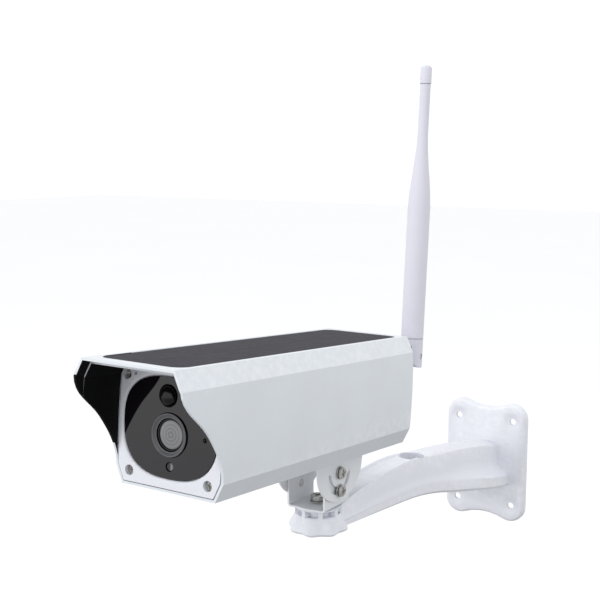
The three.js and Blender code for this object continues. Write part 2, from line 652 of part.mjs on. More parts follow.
// ---------------------------------------------------------------- wall bracket
function plateOutline() {
  const p = PLATE;
  const shape = new THREE.Shape();
  const cx = p.half - p.lobe;
  const cz = p.halfHeight - p.lobe;
  const turnAngle = THREE.MathUtils.degToRad(112);
  const edgeX = cx + p.lobe * Math.cos(turnAngle);
  const edgeZ = cz + p.lobe * Math.sin(turnAngle);
  const dipZ = edgeZ - edgeX * Math.tan(turnAngle - Math.PI / 2);
  shape.moveTo(p.half, -cz);
  shape.absarc(cx, cz, p.lobe, 0, turnAngle, false);
  shape.quadraticCurveTo(0, dipZ, -edgeX, edgeZ);
  shape.absarc(-cx, cz, p.lobe, Math.PI - turnAngle, Math.PI, false);
  shape.absarc(-cx, -cz, p.lobe, Math.PI, Math.PI + turnAngle, false);
  shape.quadraticCurveTo(0, -dipZ, edgeX, -edgeZ);
  shape.absarc(cx, -cz, p.lobe, 2 * Math.PI - turnAngle, 2 * Math.PI, false);
  return shape;
}

function makePlate() {
  const p = PLATE;
  const round = 3.5;
  const geometry = new THREE.ExtrudeGeometry(plateOutline(), {
    depth: 20, bevelEnabled: true, bevelThickness: round, bevelSize: round, bevelOffset: -round,
    bevelSegments: 3, curveSegments: 6,
  });
  // The outline's front end, with its rounded edge, lands at y = -depth.
  const slab = solid(geometry.rotateX(Math.PI / 2).rotateZ(Math.PI).translate(0, -p.depth + round, 0));
  const web = box(-60, 60, -p.depth - 5, 0, -60, 60);
  return slab.intersect(web);
}

// Height of the arm's top and bottom edges and its widths, against distance from the wall.
const ARM_TOP = new THREE.SplineCurve([
  [-246, 32.6], [-236, 33.8], [-226, 36], [-205, 37], [-180, 38.1], [-154, 37.6], [-106, 32.9],
  [-60, 26.4], [-28, 20.2], [-4, 14.4],
].map(([y, z]) => new THREE.Vector2(y, z)));
const ARM_BOTTOM = new THREE.SplineCurve([
  [-246, 20.6], [-202, 16.8], [-167, 13.6], [-145, 11.1], [-119, 6.4], [-99, 1.6], [-67, -5.6],
  [-30, -13.4], [-4, -17.6],
].map(([y, z]) => new THREE.Vector2(y, z)));

function heightAt(curve, y) {
  let low = 0;
  let high = 1;
  for (let i = 0; i < 24; i += 1) {
    const middle = (low + high) / 2;
    if (curve.getPoint(middle).x < y) low = middle;
    else high = middle;
  }
  return curve.getPoint((low + high) / 2).y;
}

// Height of the shallow channel between the beads, as a share of the arm's depth.
const CHANNEL_FLOOR = 0.95;

function armRing(y) {
  const top = heightAt(ARM_TOP, y);
  const bottom = heightAt(ARM_BOTTOM, y);
  const near = THREE.MathUtils.smoothstep(y, -150, -6);
  const crown = THREE.MathUtils.lerp(9.4, 10, near);
  const side = THREE.MathUtils.lerp(10.4, 10.8, near);
  const foot = THREE.MathUtils.lerp(12, 20.4, near ** 1.3);
  // Two beads run along the top as far as the cable hole; from there the top is rounded.
  const smooth = THREE.MathUtils.smoothstep(y, -150, -112);
  const blend = (beaded, rounded) => THREE.MathUtils.lerp(beaded, rounded, smooth);
  const ledge = foot - side;
  const half = [
    [blend(0.74, 0.45) * crown, blend(CHANNEL_FLOOR, 0.995)],
    [blend(0.82, 0.72) * crown, blend(1, 0.97)],
    [blend(0.97, 0.93) * crown, blend(1, 0.92)],
    [crown + 0.1, blend(0.94, 0.84)],
    [side, 0.6], [side + 0.14 * ledge, 0.48], [side + 0.42 * ledge, 0.37],
    [side + 0.8 * ledge, 0.3], [foot - 0.3, 0.25], [foot, 0.05], [foot - 1, 0],
  ];
  const at = ([x, share]) => new THREE.Vector3(x, y, bottom + (top - bottom) * share);
  const right = half.map(at);
  const left = half.map(([x, share]) => at([-x, share])).reverse();
  return [at([0, blend(CHANNEL_FLOOR, 1)]), ...right, at([0, 0]), ...left];
}

function makeArm() {
  const rings = [];
  const steps = 18;
  for (let i = 0; i <= steps; i += 1) {
    rings.push(armRing(-244 + (238 * i) / steps));
  }
  return loft(rings);
}

// The scalloped head that the bracket turns on, measured from the pivot.
function makeHead() {
  const h = HEAD;
  const sides = 48;
  const levels = [
    [h.bottom, h.skirt - 1.7, 1], [h.bottom + 0.7, h.skirt - 0.5, 1], [h.bottom + 1.7, h.skirt, 1],
    [h.bottom + 4.6, h.skirt - 1.2, 0.9],
    [h.skirtTop, h.radius, 0.2], [h.skirtTop + 0.6, h.radius - 0.6, 0],
  ];
  const rings = levels.map(([z, radius, lobe]) => {
    const ring = [];
    for (let i = 0; i < sides; i += 1) {
      const angle = (2 * Math.PI * i) / sides;
      const r = radius - h.lobe * lobe * Math.cos(h.ribs * angle);
      ring.push(new THREE.Vector3(r * Math.cos(angle + h.turn), r * Math.sin(angle + h.turn), z));
    }
    return ring;
  });
  const skirt = loft(rings);
  const core = rodZ(0, 0, h.core, h.skirtTop, h.top, 32);
  const rim = rodZ(0, 0, h.radius - 0.3, h.top - 0.7, h.top, 40);
  const ribs = [];
  for (let i = 0; i < h.ribs; i += 1) {
    const angle = (2 * Math.PI * i) / h.ribs + h.turn;
    const rib = new THREE.BoxGeometry(4, h.ribWidth, h.top - h.skirtTop + 0.6)
      .translate(h.radius - 2, 0, (h.top + h.skirtTop - 0.8) / 2)
      .rotateZ(angle);
    ribs.push(solid(rib));
  }
  return join(skirt, core, rim, ...ribs);
}

function makeWallBracket() {
  const p = PLATE;
  const head = makeHead().translate([0, PIVOT.y, PIVOT.z]);
  const oval = new THREE.Shape();
  oval.absellipse(CABLE_HOLE.x, CABLE_HOLE.y, CABLE_HOLE.halfWidth, CABLE_HOLE.halfLength,
    0, 2 * Math.PI, false, 0);
  const holeTop = heightAt(ARM_TOP, CABLE_HOLE.y);
  const cableHole = alongZ(oval, holeTop - CABLE_HOLE.depth, holeTop + 10, 12);
  // The cable's way down through the arm, out of the plate's back below its centre.
  const duct = new THREE.Shape();
  duct.moveTo(CABLE_HOLE.y, holeTop - CABLE_HOLE.depth);
  duct.lineTo(5, -15);
  duct.lineTo(5, -5);
  duct.lineTo(CABLE_HOLE.y, holeTop - CABLE_HOLE.depth + 8.5);
  duct.closePath();
  const holes = [];
  const dishes = [];
  for (const x of [-p.holeX, p.holeX]) {
    for (const z of [-p.holeZ, p.holeZ]) {
      holes.push(rodY(x, z, p.hole, -20, 5, 20));
      const dish = new THREE.SphereGeometry(18, 40, 20).translate(x, -p.depth - 16.9, z);
      dishes.push(solid(dish), rodY(x, z, p.pocket, -p.pocketDepth, 5, 28));
    }
  }
  const notch = rodY(-6, -p.halfHeight + 3, 4.5, -4.5, 5, 16);
  const notchCable = box(-10.5, -1.5, -4.5, 5, -60, -p.halfHeight + 3);
  const boltHole = rodZ(0, PIVOT.y, M6_HOLE, 0, 60, 20);
  const nutWell = rodZ(0, PIVOT.y, 8.5, 0, PIVOT.z + HEAD.bottom + NUT_WELL_DEPTH, 28);
  return cut(join(makePlate(), makeArm(), head), cableHole, alongX(duct, -5, 5), ...holes, ...dishes,
    notch, notchCable, boltHole, nutWell);
}

// ---------------------------------------------------------------- assembly
add(root, 'wall_bracket', makeWallBracket(), FINISH.plastic);

const NUT_TOP = HEAD.bottom + NUT_WELL_DEPTH - GAP;
const BASE_TOP = CRADLE.bottom + CRADLE.sheet;
const pinned = new THREE.Group();
pinned.position.copy(swivel.position);
root.add(pinned);
add(pinned, 'pan_bolt', cut(
  join(rodZ(0, 0, 4.4, BASE_TOP + 1.7, BASE_TOP + 4.5, 24), rodZ(0, 0, 3, NUT_TOP - 6.4, BASE_TOP + 1.9, 20)),
  box(-2.8, 2.8, -0.7, 0.7, BASE_TOP + 3.4, BASE_TOP + 8),
  box(-0.7, 0.7, -2.8, 2.8, BASE_TOP + 3.4, BASE_TOP + 8)), FINISH.steel);
add(pinned, 'pan_spring_washer', cut(rodZ(0, 0, 4.9, BASE_TOP + GAP, BASE_TOP + 1.4, 24),
  rodZ(0, 0, 3.3, -50, 0, 20)), FINISH.steel);
add(pinned, 'pan_nut', cut(rodZ(0, 0, 5.7, NUT_TOP - 5.2, NUT_TOP, 6),
  rodZ(0, 0, 3.3, -50, 0, 20)), FINISH.steel);

add(swivel, 'lower_bracket', makeLowerBracket(), FINISH.sheet);
for (const [name, side] of [['right', 1], ['left', -1]]) {
  add(swivel, `tilt_pivot_screw_${name}`, makeEarScrew(side, 0), FINISH.steel);
  add(swivel, `tilt_pivot_washer_${name}`, makeEarWasher(side, 0), FINISH.steel);
  add(swivel, `tilt_lock_screw_${name}`, makeEarScrew(side, -SLOT.radius), FINISH.steel);
  add(swivel, `tilt_lock_washer_${name}`, makeEarWasher(side, -SLOT.radius), FINISH.steel);
}

add(body, 'upper_bracket', makeUpperBracket(), FINISH.sheet);
for (const [name, y] of [['front', BRACKET_SCREWS_Y[0]], ['rear', BRACKET_SCREWS_Y[1]]]) {
  const z = PIVOT_TO_BASE - 2 * GAP - EARS.sheet;
  const screw = cut(join(rodZ(0, y, 3.6, z - 2.2, z, 20), rodZ(0, y, 2, z - 0.2, PIVOT_TO_BASE + 3.3, 14)),
    box(-2.2, 2.2, y - 0.6, y + 0.6, z - 5, z - 1), box(-0.6, 0.6, y - 2.2, y + 2.2, z - 5, z - 1));
  add(body, `bracket_screw_${name}`, screw, FINISH.steel);
}

add(housing, 'housing', makeHousing(), FINISH.shell);
add(housing, 'solar_panel', makePanel(), FINISH.cells);
add(housing, 'solar_panel_bond', makePanelBond(), FINISH.rubber);
add(housing, 'front_plate', makeFrontPlate(), FINISH.plastic);
add(housing, 'front_gasket', makeFrontGasket(), FINISH.rubber);
add(housing, 'front_window', makeWindow(), FINISH.window);
add(housing, 'lens_bezel', makeLensBezel(), FINISH.black);
add(housing, 'lens_barrel', makeLensBarrel(), FINISH.black);
add(housing, 'lens_glass', makeLensGlass(), FINISH.glass);
add(housing, 'lens_holder', makeLensHolder(), FINISH.black);
add(housing, 'front_board', makeFrontBoard(), FINISH.board);
add(housing, 'pir_lens', makePirLens(), FINISH.black);
add(housing, 'pir_sensor', onLegs(PIR.x, PIR.z, 3.8, WINDOW_FACE + 2.6, WINDOW_FACE + 6.6, 3, 2.5),
  FINISH.steel);
add(housing, 'light_sensor', onLegs(LIGHT.x, LIGHT.z, 1.9, WINDOW_FACE + 0.5, WINDOW_FACE + 6, 2, 1.1),
  FINISH.glass);
add(housing, 'microphone', onLegs(MIC.x, MIC.z, 2.2, WINDOW_FACE + 1.9, WINDOW_FACE + 5, 2, 1.2),
  FINISH.steel);
SCREWS.forEach(([x, z], i) => {
  add(housing, `front_screw_${i + 1}`, screwY(x, z, FRONT.face + 1.9, 13, 2.3, 1.5, 1.6, 1), FINISH.steel);
});

add(housing, 'battery_holder', makeBatteryHolder(), FINISH.rubber);
let cellNumber = 1;
for (const x of [-CELL.offset, CELL.offset]) {
  for (const y of [-165.2, -97.2]) {
    const cell = rodY(x, CELL.z, CELL.radius, y, y + CELL.length, 24);
    add(housing, `battery_cell_${cellNumber}`, cell, FINISH.battery);
    cellNumber += 1;
  }
}
for (const [name, y] of [['front', -166.3], ['rear', -31.5]]) {
  add(housing, `battery_contact_${name}`, box(-17, 17, y, y + 0.4, 9, 22), FINISH.brass);
}
add(housing, 'main_board', makeMainBoard(), FINISH.board);

add(housing, 'rear_cap', makeRearCap(), FINISH.plastic);
add(housing, 'rear_gasket', makeRearGasket(), FINISH.rubber);
SCREWS.forEach(([x, z], i) => {
  add(housing, `rear_screw_${i + 1}`, screwY(x, z, REAR.face - 0.2, 12, 2.6, 1.5, 1.6, -1), FINISH.steel);
});
add(housing, 'rear_board', makeRearBoard(), FINISH.board);
add(housing, 'power_button', makePowerButton(), FINISH.rubber);
add(housing, 'port_cover', makePortCover(), FINISH.rubber);

add(housing, 'antenna_connector', makeAntennaConnector(), FINISH.brass);
add(housing, 'antenna_nut', makeAntennaNut(), FINISH.brass);
add(housing, 'antenna_base', makeAntennaBase(), FINISH.radome);
add(housing, 'antenna_elbow', makeAntennaElbow(), FINISH.radome);
add(housing, 'antenna_pin', rodX(ANTENNA.y, ANTENNA.z, 1.5, ANTENNA.x - 6.4, ANTENNA.x + 6.4, 16),
  FINISH.steel);
add(housing, 'antenna_rod', makeAntennaRod(), FINISH.radome);
add(housing, 'antenna_tip', makeAntennaTip(), FINISH.radome);

export default root;
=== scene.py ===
"""The looks of the solar-powered security camera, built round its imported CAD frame.

Each CAD node gets a refined copy with merged flats, rounded edges and smooth curves. The pieces of the
camera body are built in the housing's own frame, whose origin is the bottom centre of its rear end, with
+Y towards the rear, because the body is tilted about the bracket's pivot.
"""

import json
import math

import bmesh
import bpy
from mathutils import Matrix, Vector


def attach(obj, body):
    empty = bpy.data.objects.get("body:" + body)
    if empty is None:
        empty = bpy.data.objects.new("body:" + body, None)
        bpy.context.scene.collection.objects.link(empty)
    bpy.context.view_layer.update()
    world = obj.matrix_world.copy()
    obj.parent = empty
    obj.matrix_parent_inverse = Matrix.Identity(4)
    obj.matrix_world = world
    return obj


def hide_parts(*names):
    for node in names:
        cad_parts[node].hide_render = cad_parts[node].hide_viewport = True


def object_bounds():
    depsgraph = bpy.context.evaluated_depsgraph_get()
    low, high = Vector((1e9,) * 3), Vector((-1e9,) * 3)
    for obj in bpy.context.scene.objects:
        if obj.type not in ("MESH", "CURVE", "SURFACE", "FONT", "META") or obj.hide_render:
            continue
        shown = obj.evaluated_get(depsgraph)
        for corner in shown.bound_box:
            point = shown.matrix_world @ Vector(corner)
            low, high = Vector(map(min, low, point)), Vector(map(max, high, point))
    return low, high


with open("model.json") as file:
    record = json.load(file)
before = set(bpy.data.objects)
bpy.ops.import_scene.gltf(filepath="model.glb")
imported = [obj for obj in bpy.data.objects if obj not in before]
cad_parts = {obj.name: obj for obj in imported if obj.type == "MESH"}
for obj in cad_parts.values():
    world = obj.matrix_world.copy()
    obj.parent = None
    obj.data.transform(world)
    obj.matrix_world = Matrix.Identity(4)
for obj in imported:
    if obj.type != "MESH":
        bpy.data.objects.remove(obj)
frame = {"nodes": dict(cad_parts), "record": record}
CAD_BOX = [list(corner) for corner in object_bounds()]
MM = 0.001

RECORD = frame["record"]
JOINTS = {joint["name"]: joint for joint in RECORD["behaviour"]["joints"]}
BODY_OF = {node: body for body, nodes in RECORD["behaviour"]["bodies"].items() for node in nodes}
SLOT_OF = {part["node"]: part["material_slot"] for part in RECORD["subparts"]}
TILTED = ("camera", "antenna_turn_base", "antenna_whip", "power_button", "port_cover")

# Meshes: lengths in metres, angles in degrees unless they say otherwise
WELD_DISTANCE = 0.002 * MM
FLAT_ANGLE = 0.6
CUT_SLACK = 1e-6
PLANE_SLACK = 1e-5
WINDOW_ROLL_WIDTH = 1.3 * MM
WINDOW_ROLL_STEPS = 4
SHORTEST_RIM_EDGE = 1.5 * MM
RIM_FACE_ANGLE = 1.2  # radians

# Visor coating, measured from the housing's bottom, roof and front end
COATED_EDGE_START = 18 * MM
COATED_EDGE_END = 2 * MM
ROOF_SKIN = 0.5 * MM
ROOF_STEP_HEIGHT = 5 * MM
ROOF_STEP_SETBACK = 2 * MM
LEAST_INWARD = 0.2
LEAST_FORWARD = 0.3
STRAIGHT_FORWARD = 0.9

# Solar panel
CELLS_ACROSS = 2
CELLS_ALONG = 9
CELL_GAP_ACROSS = 0.7 * MM
CELL_GAP_ALONG = 0.5 * MM
BUSBARS_PER_CELL = 3
BUSBAR_WIDTH = 0.35 * MM
FINGER_PITCH = 1.6 * MM
FINGER_WIDTH = 0.18 * MM

# Lens
LENS_RING_PITCH = 1.75 * MM
LENS_RADIUS = 6 * MM

# Camera, in the row frame
CAMERA_AZIMUTH = 32.66
CAMERA_ELEVATION = 8.14
CAMERA_ROLL = 0.1
CAMERA_PLACE = (0.31745, -0.76926, 0.24208)
CAMERA_LENS = 64.5
CAMERA_SENSOR = 36
CAMERA_CLIP = 0.01

# Studio
FLOOR_HALF = 6.0
FLOOR_DROP = 0.12
SKY_COLOR = (0.98, 0.99, 1, 1)
SKY_RAMP = {"From Min": -0.45, "From Max": -0.09, "To Min": 0.34, "To Max": 1.06}
LIGHTS = {
    "key": {"place": (-0.9, -1.7, 0.35), "size": (1.2, 1.2), "power": 11},
    "top": {"place": (0.3, -0.6, 1.5), "size": (1.6, 1.6), "power": 3},
}


# ------------------------------------------------------------------ frames
def body_frame():
    """The housing's own frame in the row frame, from the tilt pivot and the antenna's turning axis."""
    pivot = Vector(JOINTS["tilt"]["pos_m"])
    rearward = Vector(JOINTS["antenna_turn"]["axis"])
    tilt = math.atan2(rearward.z, rearward.y)
    turned = Matrix.Translation(pivot) @ Matrix.Rotation(tilt, 4, "X")
    low, high = extent("housing", turned.inverted())
    return turned @ Matrix.Translation((0, high.y, low.z))


def extent(node, into):
    """Lowest and highest corners of a CAD node in another frame."""
    points = [into @ v.co for v in frame["nodes"][node].data.vertices]
    low = Vector(min(p[axis] for p in points) for axis in range(3))
    high = Vector(max(p[axis] for p in points) for axis in range(3))
    return low, high


HOUSING_FRAME = body_frame()
PAN_FRAME = Matrix.Translation((0, JOINTS["pan"]["pos_m"][1], 0))


def frame_of(node):
    if BODY_OF[node] in TILTED:
        return HOUSING_FRAME
    if BODY_OF[node] == "pan_bracket":
        return PAN_FRAME
    return Matrix.Identity(4)


def local_box(node):
    return extent(node, frame_of(node).inverted())


# ------------------------------------------------------------------ material building
class Surface:
    """A Principled material whose nodes read the piece's own coordinates, in metres."""

    def __init__(self, name, **sockets):
        self.material = bpy.data.materials.new(name)
        self.material.use_nodes = True
        self.tree = self.material.node_tree
        self.shader = self.tree.nodes["Principled BSDF"]
        self.coordinates = self.tree.nodes.new("ShaderNodeTexCoord").outputs["Object"]
        self.normal = None
        for socket, value in sockets.items():
            self.shader.inputs[socket.replace("_", " ")].default_value = value

    def link(self, source, target):
        self.tree.links.new(source, target)

    def node(self, kind, **inputs):
        node = self.tree.nodes.new(kind)
        for name, value in inputs.items():
            node.inputs[name.replace("_", " ")].default_value = value
        return node

    def noise(self, size, detail=3.0, roughness=0.55, stretch=(1, 1, 1)):
        """Noise with features of that size in metres."""
        mapping = self.node("ShaderNodeMapping")
        mapping.inputs["Scale"].default_value = stretch
        self.link(self.coordinates, mapping.inputs["Vector"])
        texture = self.node("ShaderNodeTexNoise", Scale=1 / size, Detail=detail, Roughness=roughness)
        self.link(mapping.outputs["Vector"], texture.inputs["Vector"])
        return texture.outputs["Fac"]

    def axis(self, letter):
        split = self.node("ShaderNodeSeparateXYZ")
        self.link(self.coordinates, split.inputs["Vector"])
        return split.outputs[letter]

    def math(self, operation, first, second=None, third=None):
        node = self.tree.nodes.new("ShaderNodeMath")
        node.operation = operation
        for socket, value in zip(node.inputs, (first, second, third)):
            if value is None:
                continue
            if isinstance(value, (int, float)):
                socket.default_value = value
            else:
                self.link(value, socket)
        return node.outputs["Value"]

    def band(self, value, low, high):
        """Value's range from low to high, mapped to 0..1."""
        node = self.node("ShaderNodeMapRange")
        node.inputs["From Min"].default_value = low
        node.inputs["From Max"].default_value = high
        self.link(value, node.inputs["Value"])
        return node.outputs["Result"]

    def mix(self, amount, first, second):
        """Colour mix; first and second are colours or sockets."""
        node = self.tree.nodes.new("ShaderNodeMix")
        node.data_type = "RGBA"
        self.link(amount, node.inputs["Factor"])
        for socket, value in ((node.inputs[6], first), (node.inputs[7], second)):
            if isinstance(value, (tuple, list)):
                socket.default_value = (*value, 1)
            else:
                self.link(value, socket)
        return node.outputs[2]

    def color(self, value):
        self.link(value, self.shader.inputs["Base Color"])

    def roughness(self, fac, low, high):
        node = self.node("ShaderNodeMapRange")
        node.inputs["To Min"].default_value = low
        node.inputs["To Max"].default_value = high
        self.link(fac, node.inputs["Value"])
        self.link(node.outputs["Result"], self.shader.inputs["Roughness"])

    def bump(self, height, depth, strength=1.0):
        """Adds a height map of that depth in metres on top of earlier ones."""
        node = self.node("ShaderNodeBump", Strength=strength, Distance=depth)
        self.link(height, node.inputs["Height"])
        if self.normal is not None:
            self.link(self.normal, node.inputs["Normal"])
        self.normal = node.outputs["Normal"]
        self.link(self.normal, self.shader.inputs["Normal"])

    def worn_edges(self, base, worn, amount):
        """Base colour, lightened or darkened where edges stick out."""
        geometry = self.tree.nodes.new("ShaderNodeNewGeometry")
        edge = self.band(geometry.outputs["Pointiness"], 0.53, 0.62)
        patchy = self.math("MULTIPLY", edge, self.band(self.noise(4 * MM), 0.42, 0.7))
        return self.mix(self.math("MULTIPLY", patchy, amount), base, worn)


def dusty(surface, color, dust, size=22 * MM, amount=0.5):
    """Two close tones in soft patches, as on a surface that has been handled and rained on."""
    patches = surface.band(surface.noise(size, 4), 0.35, 0.72)
    return surface.mix(surface.math("MULTIPLY", patches, amount), color, dust)


def painted_metal(name, color, dust, grain=0.55 * MM):
    """Fine powder coat: orange-peel bump, soft sheen, slight dust, paler edges."""
    s = Surface(name, Metallic=0.0, Coat_Weight=0.12, Coat_Roughness=0.25, IOR=1.5)
    s.color(s.worn_edges(dusty(s, color, dust), (0.9, 0.91, 0.92), 0.35))
    s.roughness(s.noise(6 * MM, 5), 0.34, 0.46)
    s.bump(s.noise(grain, 2), 0.02 * MM, 0.5)
    s.bump(s.noise(9 * MM, 2), 0.03 * MM, 0.25)
    return s.material


def moulded_plastic(name, color, dust, rough=(0.36, 0.5), grain=0.35 * MM, depth=0.02 * MM):
    """Injection moulding: fine spark-eroded grain and faint flow marks."""
    s = Surface(name, IOR=1.5, Subsurface_Weight=0.03, Subsurface_Scale=0.002)
    s.color(s.worn_edges(dusty(s, color, dust, 30 * MM, 0.4), (0.93, 0.93, 0.95), 0.3))
    s.roughness(s.noise(5 * MM, 5), *rough)
    s.bump(s.noise(grain, 2), depth, 0.6)
    s.bump(s.noise(14 * MM, 2, stretch=(1, 0.3, 1)), 0.05 * MM, 0.2)
    return s.material


def dark_plastic(name, color, rough=(0.3, 0.45)):
    s = Surface(name, IOR=1.49)
    dust = tuple(c * 1.8 + 0.01 for c in color)
    s.color(s.worn_edges(dusty(s, color, dust, 8 * MM, 0.35), (0.2, 0.2, 0.21), 0.3))
    s.roughness(s.noise(3 * MM, 4), *rough)
    s.bump(s.noise(0.4 * MM, 2), 0.012 * MM, 0.5)
    return s.material


def visor_coating(name):
    """Dead black anti-glare coating, slightly dusty."""
    s = Surface(name, IOR=1.4, Specular_IOR_Level=0.2)
    s.color(dusty(s, (0.0035, 0.0035, 0.004), (0.007, 0.007, 0.0075), 9 * MM, 0.4))
    s.roughness(s.noise(3 * MM, 4), 0.6, 0.75)
    s.bump(s.noise(0.5 * MM, 2), 0.015 * MM, 0.5)
    return s.material


def plated_steel(name):
    """Nickel-plated fastener: bright, with fine turning marks and a little tarnish."""
    s = Surface(name, Metallic=1.0)
    nickel, tarnish, polished = (0.62, 0.61, 0.58), (0.25, 0.24, 0.22), (0.9, 0.9, 0.88)
    s.color(s.worn_edges(dusty(s, nickel, tarnish, 1.6 * MM, 0.8), polished, 0.8))
    s.roughness(s.noise(0.8 * MM, 4), 0.1, 0.26)
    s.bump(s.noise(0.25 * MM, 2, stretch=(0.2, 1, 1)), 0.008 * MM, 0.5)
    return s.material


def brass(name):
    s = Surface(name, Metallic=1.0)
    bright, dull = (0.72, 0.5, 0.2), (0.4, 0.26, 0.1)
    s.color(dusty(s, bright, dull, 2 * MM, 0.6))
    s.roughness(s.noise(0.6 * MM, 4), 0.2, 0.38)
    s.bump(s.noise(0.3 * MM, 2), 0.01 * MM, 0.4)
    return s.material


def acrylic(name):
    """The smoked front window: near black in depth, with a hard polished face."""
    s = Surface(name, IOR=1.62)
    s.color(dusty(s, (0.005, 0.004, 0.006), (0.008, 0.006, 0.009), 12 * MM, 0.5))
    s.roughness(s.noise(10 * MM, 5), 0.02, 0.05)
    s.bump(s.noise(25 * MM, 1), 0.02 * MM, 0.05)
    return s.material


def dome_plastic(name):
    s = Surface(name, IOR=1.45)
    s.color(dusty(s, (0.004, 0.004, 0.004), (0.008, 0.008, 0.009), 3 * MM, 0.5))
    s.roughness(s.noise(2 * MM, 4), 0.14, 0.24)
    s.bump(s.noise(0.9 * MM, 1), 0.01 * MM, 0.3)
    return s.material


def lens_material(name, centre):
    """Coated front element: soft grey rings of the groups behind it as painted reflections, painted
    lighter towards the rim.
    """
    s = Surface(name, IOR=1.5, Coat_Weight=0.25, Coat_Roughness=0.01, Roughness=0.06)
    dx = s.math("SUBTRACT", s.axis("X"), centre.x)
    dz = s.math("SUBTRACT", s.axis("Z"), centre.z)
    radius = s.math("SQRT", s.math("ADD", s.math("MULTIPLY", dx, dx), s.math("MULTIPLY", dz, dz)))
    ring = s.math("SINE", s.math("MULTIPLY", radius, 2 * math.pi / LENS_RING_PITCH))
    # Painted reflections: the rim tone lightens the glass towards its edge, and the bright rings stand
    # for the groups behind it.
    middle, rim, painted_ring_reflection = (0.15, 0.15, 0.155), (0.2, 0.2, 0.205), (0.3, 0.3, 0.305)
    painted_rim_light_tone = s.mix(s.band(radius, 0, LENS_RADIUS), middle, rim)
    s.color(s.mix(s.band(ring, 0.8, 1.0), painted_rim_light_tone, painted_ring_reflection))
    s.roughness(s.noise(1.5 * MM, 3), 0.03, 0.08)
    s.bump(ring, 0.01 * MM, 0.3)
    return s.material


def sensor_lens(name, middle):
    """Clear moulded lens of the light sensor: painted shade on one side, pale where the chip's frame
    shows, with painted glints.
    """
    s = Surface(name, IOR=1.5, Coat_Weight=0.3, Coat_Roughness=0.05)
    # Painted shade: near black on one side of the middle; the other side shows the frame's tone with
    # painted glints.
    side = s.band(s.axis("X"), middle, middle + 0.5 * MM)
    painted_hole_shade, frame_tone, frame_glint = (0.01, 0.01, 0.012), (0.16, 0.16, 0.17), (0.24, 0.24, 0.25)
    s.color(s.mix(side, painted_hole_shade, dusty(s, frame_tone, frame_glint, MM, 0.5)))
    s.roughness(s.noise(0.8 * MM, 3), 0.1, 0.2)
    s.bump(s.noise(0.6 * MM, 1), 0.01 * MM, 0.3)
    return s.material


def solar_cells(name, box):
    """Cells under textured glass: gaps between cells, busbars along the length, fine fingers across."""
    low, high = box
    s = Surface(name, IOR=1.45, Specular_IOR_Level=0.12)
    across = s.math("SUBTRACT", s.axis("X"), low.x)
    along = s.math("SUBTRACT", s.axis("Y"), low.y)

    def line(value, pitch, width, offset=0.0):
        phase = s.math("FRACT", s.math("DIVIDE", s.math("ADD", value, offset), pitch))
        distance = s.math("MULTIPLY", s.math("ABSOLUTE", s.math("SUBTRACT", phase, 0.5)), pitch)
        return s.math("LESS_THAN", distance, width / 2)

    width = high.x - low.x
    length = high.y - low.y
    gap_across = line(across, width / CELLS_ACROSS, CELL_GAP_ACROSS, width / CELLS_ACROSS / 2)
    gap_along = line(along, length / CELLS_ALONG, CELL_GAP_ALONG, length / CELLS_ALONG / 2)
    busbar = line(across, width / (BUSBARS_PER_CELL * CELLS_ACROSS), BUSBAR_WIDTH)
    finger = line(along, FINGER_PITCH, FINGER_WIDTH)
    silicon, silicon_pale = (0.027, 0.025, 0.034), (0.036, 0.033, 0.044)
    cell = dusty(s, silicon, silicon_pale, 14 * MM, 0.7)
    sparkle = s.mix(s.band(s.noise(0.5 * MM, 2), 0.6, 0.75), cell, (0.05, 0.047, 0.058))
    fingers = s.mix(s.math("MULTIPLY", finger, 0.15), sparkle, (0.1, 0.1, 0.11))
    buses = s.mix(s.math("MULTIPLY", busbar, 0.18), fingers, (0.12, 0.12, 0.13))
    gaps = s.math("MULTIPLY", s.math("MAXIMUM", gap_across, gap_along), 0.6)
    s.color(s.mix(gaps, buses, (0.014, 0.013, 0.018)))
    s.roughness(s.noise(3 * MM, 4), 0.55, 0.7)
    s.bump(s.noise(0.7 * MM, 1), 0.03 * MM, 0.5)
    return s.material


def rubber(name):
    s = Surface(name, IOR=1.5, Sheen_Weight=0.12, Sheen_Roughness=0.5)
    fresh, dust, worn = (0.02, 0.02, 0.022), (0.05, 0.05, 0.052), (0.12, 0.12, 0.12)
    s.color(s.worn_edges(dusty(s, fresh, dust, 6 * MM, 0.5), worn, 0.4))
    s.roughness(s.noise(2 * MM, 4), 0.6, 0.8)
    s.bump(s.noise(0.3 * MM, 2), 0.02 * MM, 0.6)
    return s.material


def circuit_board(name):
    """Green solder mask with straight tracks, tinned pads and the weave of the laminate."""
    s = Surface(name, IOR=1.5)
    brick = s.node("ShaderNodeTexBrick", Scale=260.0, Mortar_Size=0.03)
    s.link(s.coordinates, brick.inputs["Vector"])
    mask = s.mix(s.band(brick.outputs["Fac"], 0, 1), (0.012, 0.12, 0.045), (0.03, 0.22, 0.09))
    pads = s.band(s.noise(1.1 * MM, 0), 0.66, 0.68)
    s.color(s.mix(pads, mask, (0.5, 0.5, 0.48)))
    s.roughness(s.noise(1.5 * MM, 3), 0.3, 0.5)
    s.bump(brick.outputs["Fac"], 0.02 * MM, 0.5)
    return s.material


def battery_wrap(name):
    s = Surface(name, IOR=1.5, Coat_Weight=0.2, Coat_Roughness=0.15)
    s.color(dusty(s, (0.02, 0.13, 0.36), (0.03, 0.18, 0.45), 10 * MM, 0.5))
    s.roughness(s.noise(4 * MM, 4), 0.22, 0.4)
    s.bump(s.noise(6 * MM, 2, stretch=(1, 0.2, 1)), 0.04 * MM, 0.4)
    return s.material


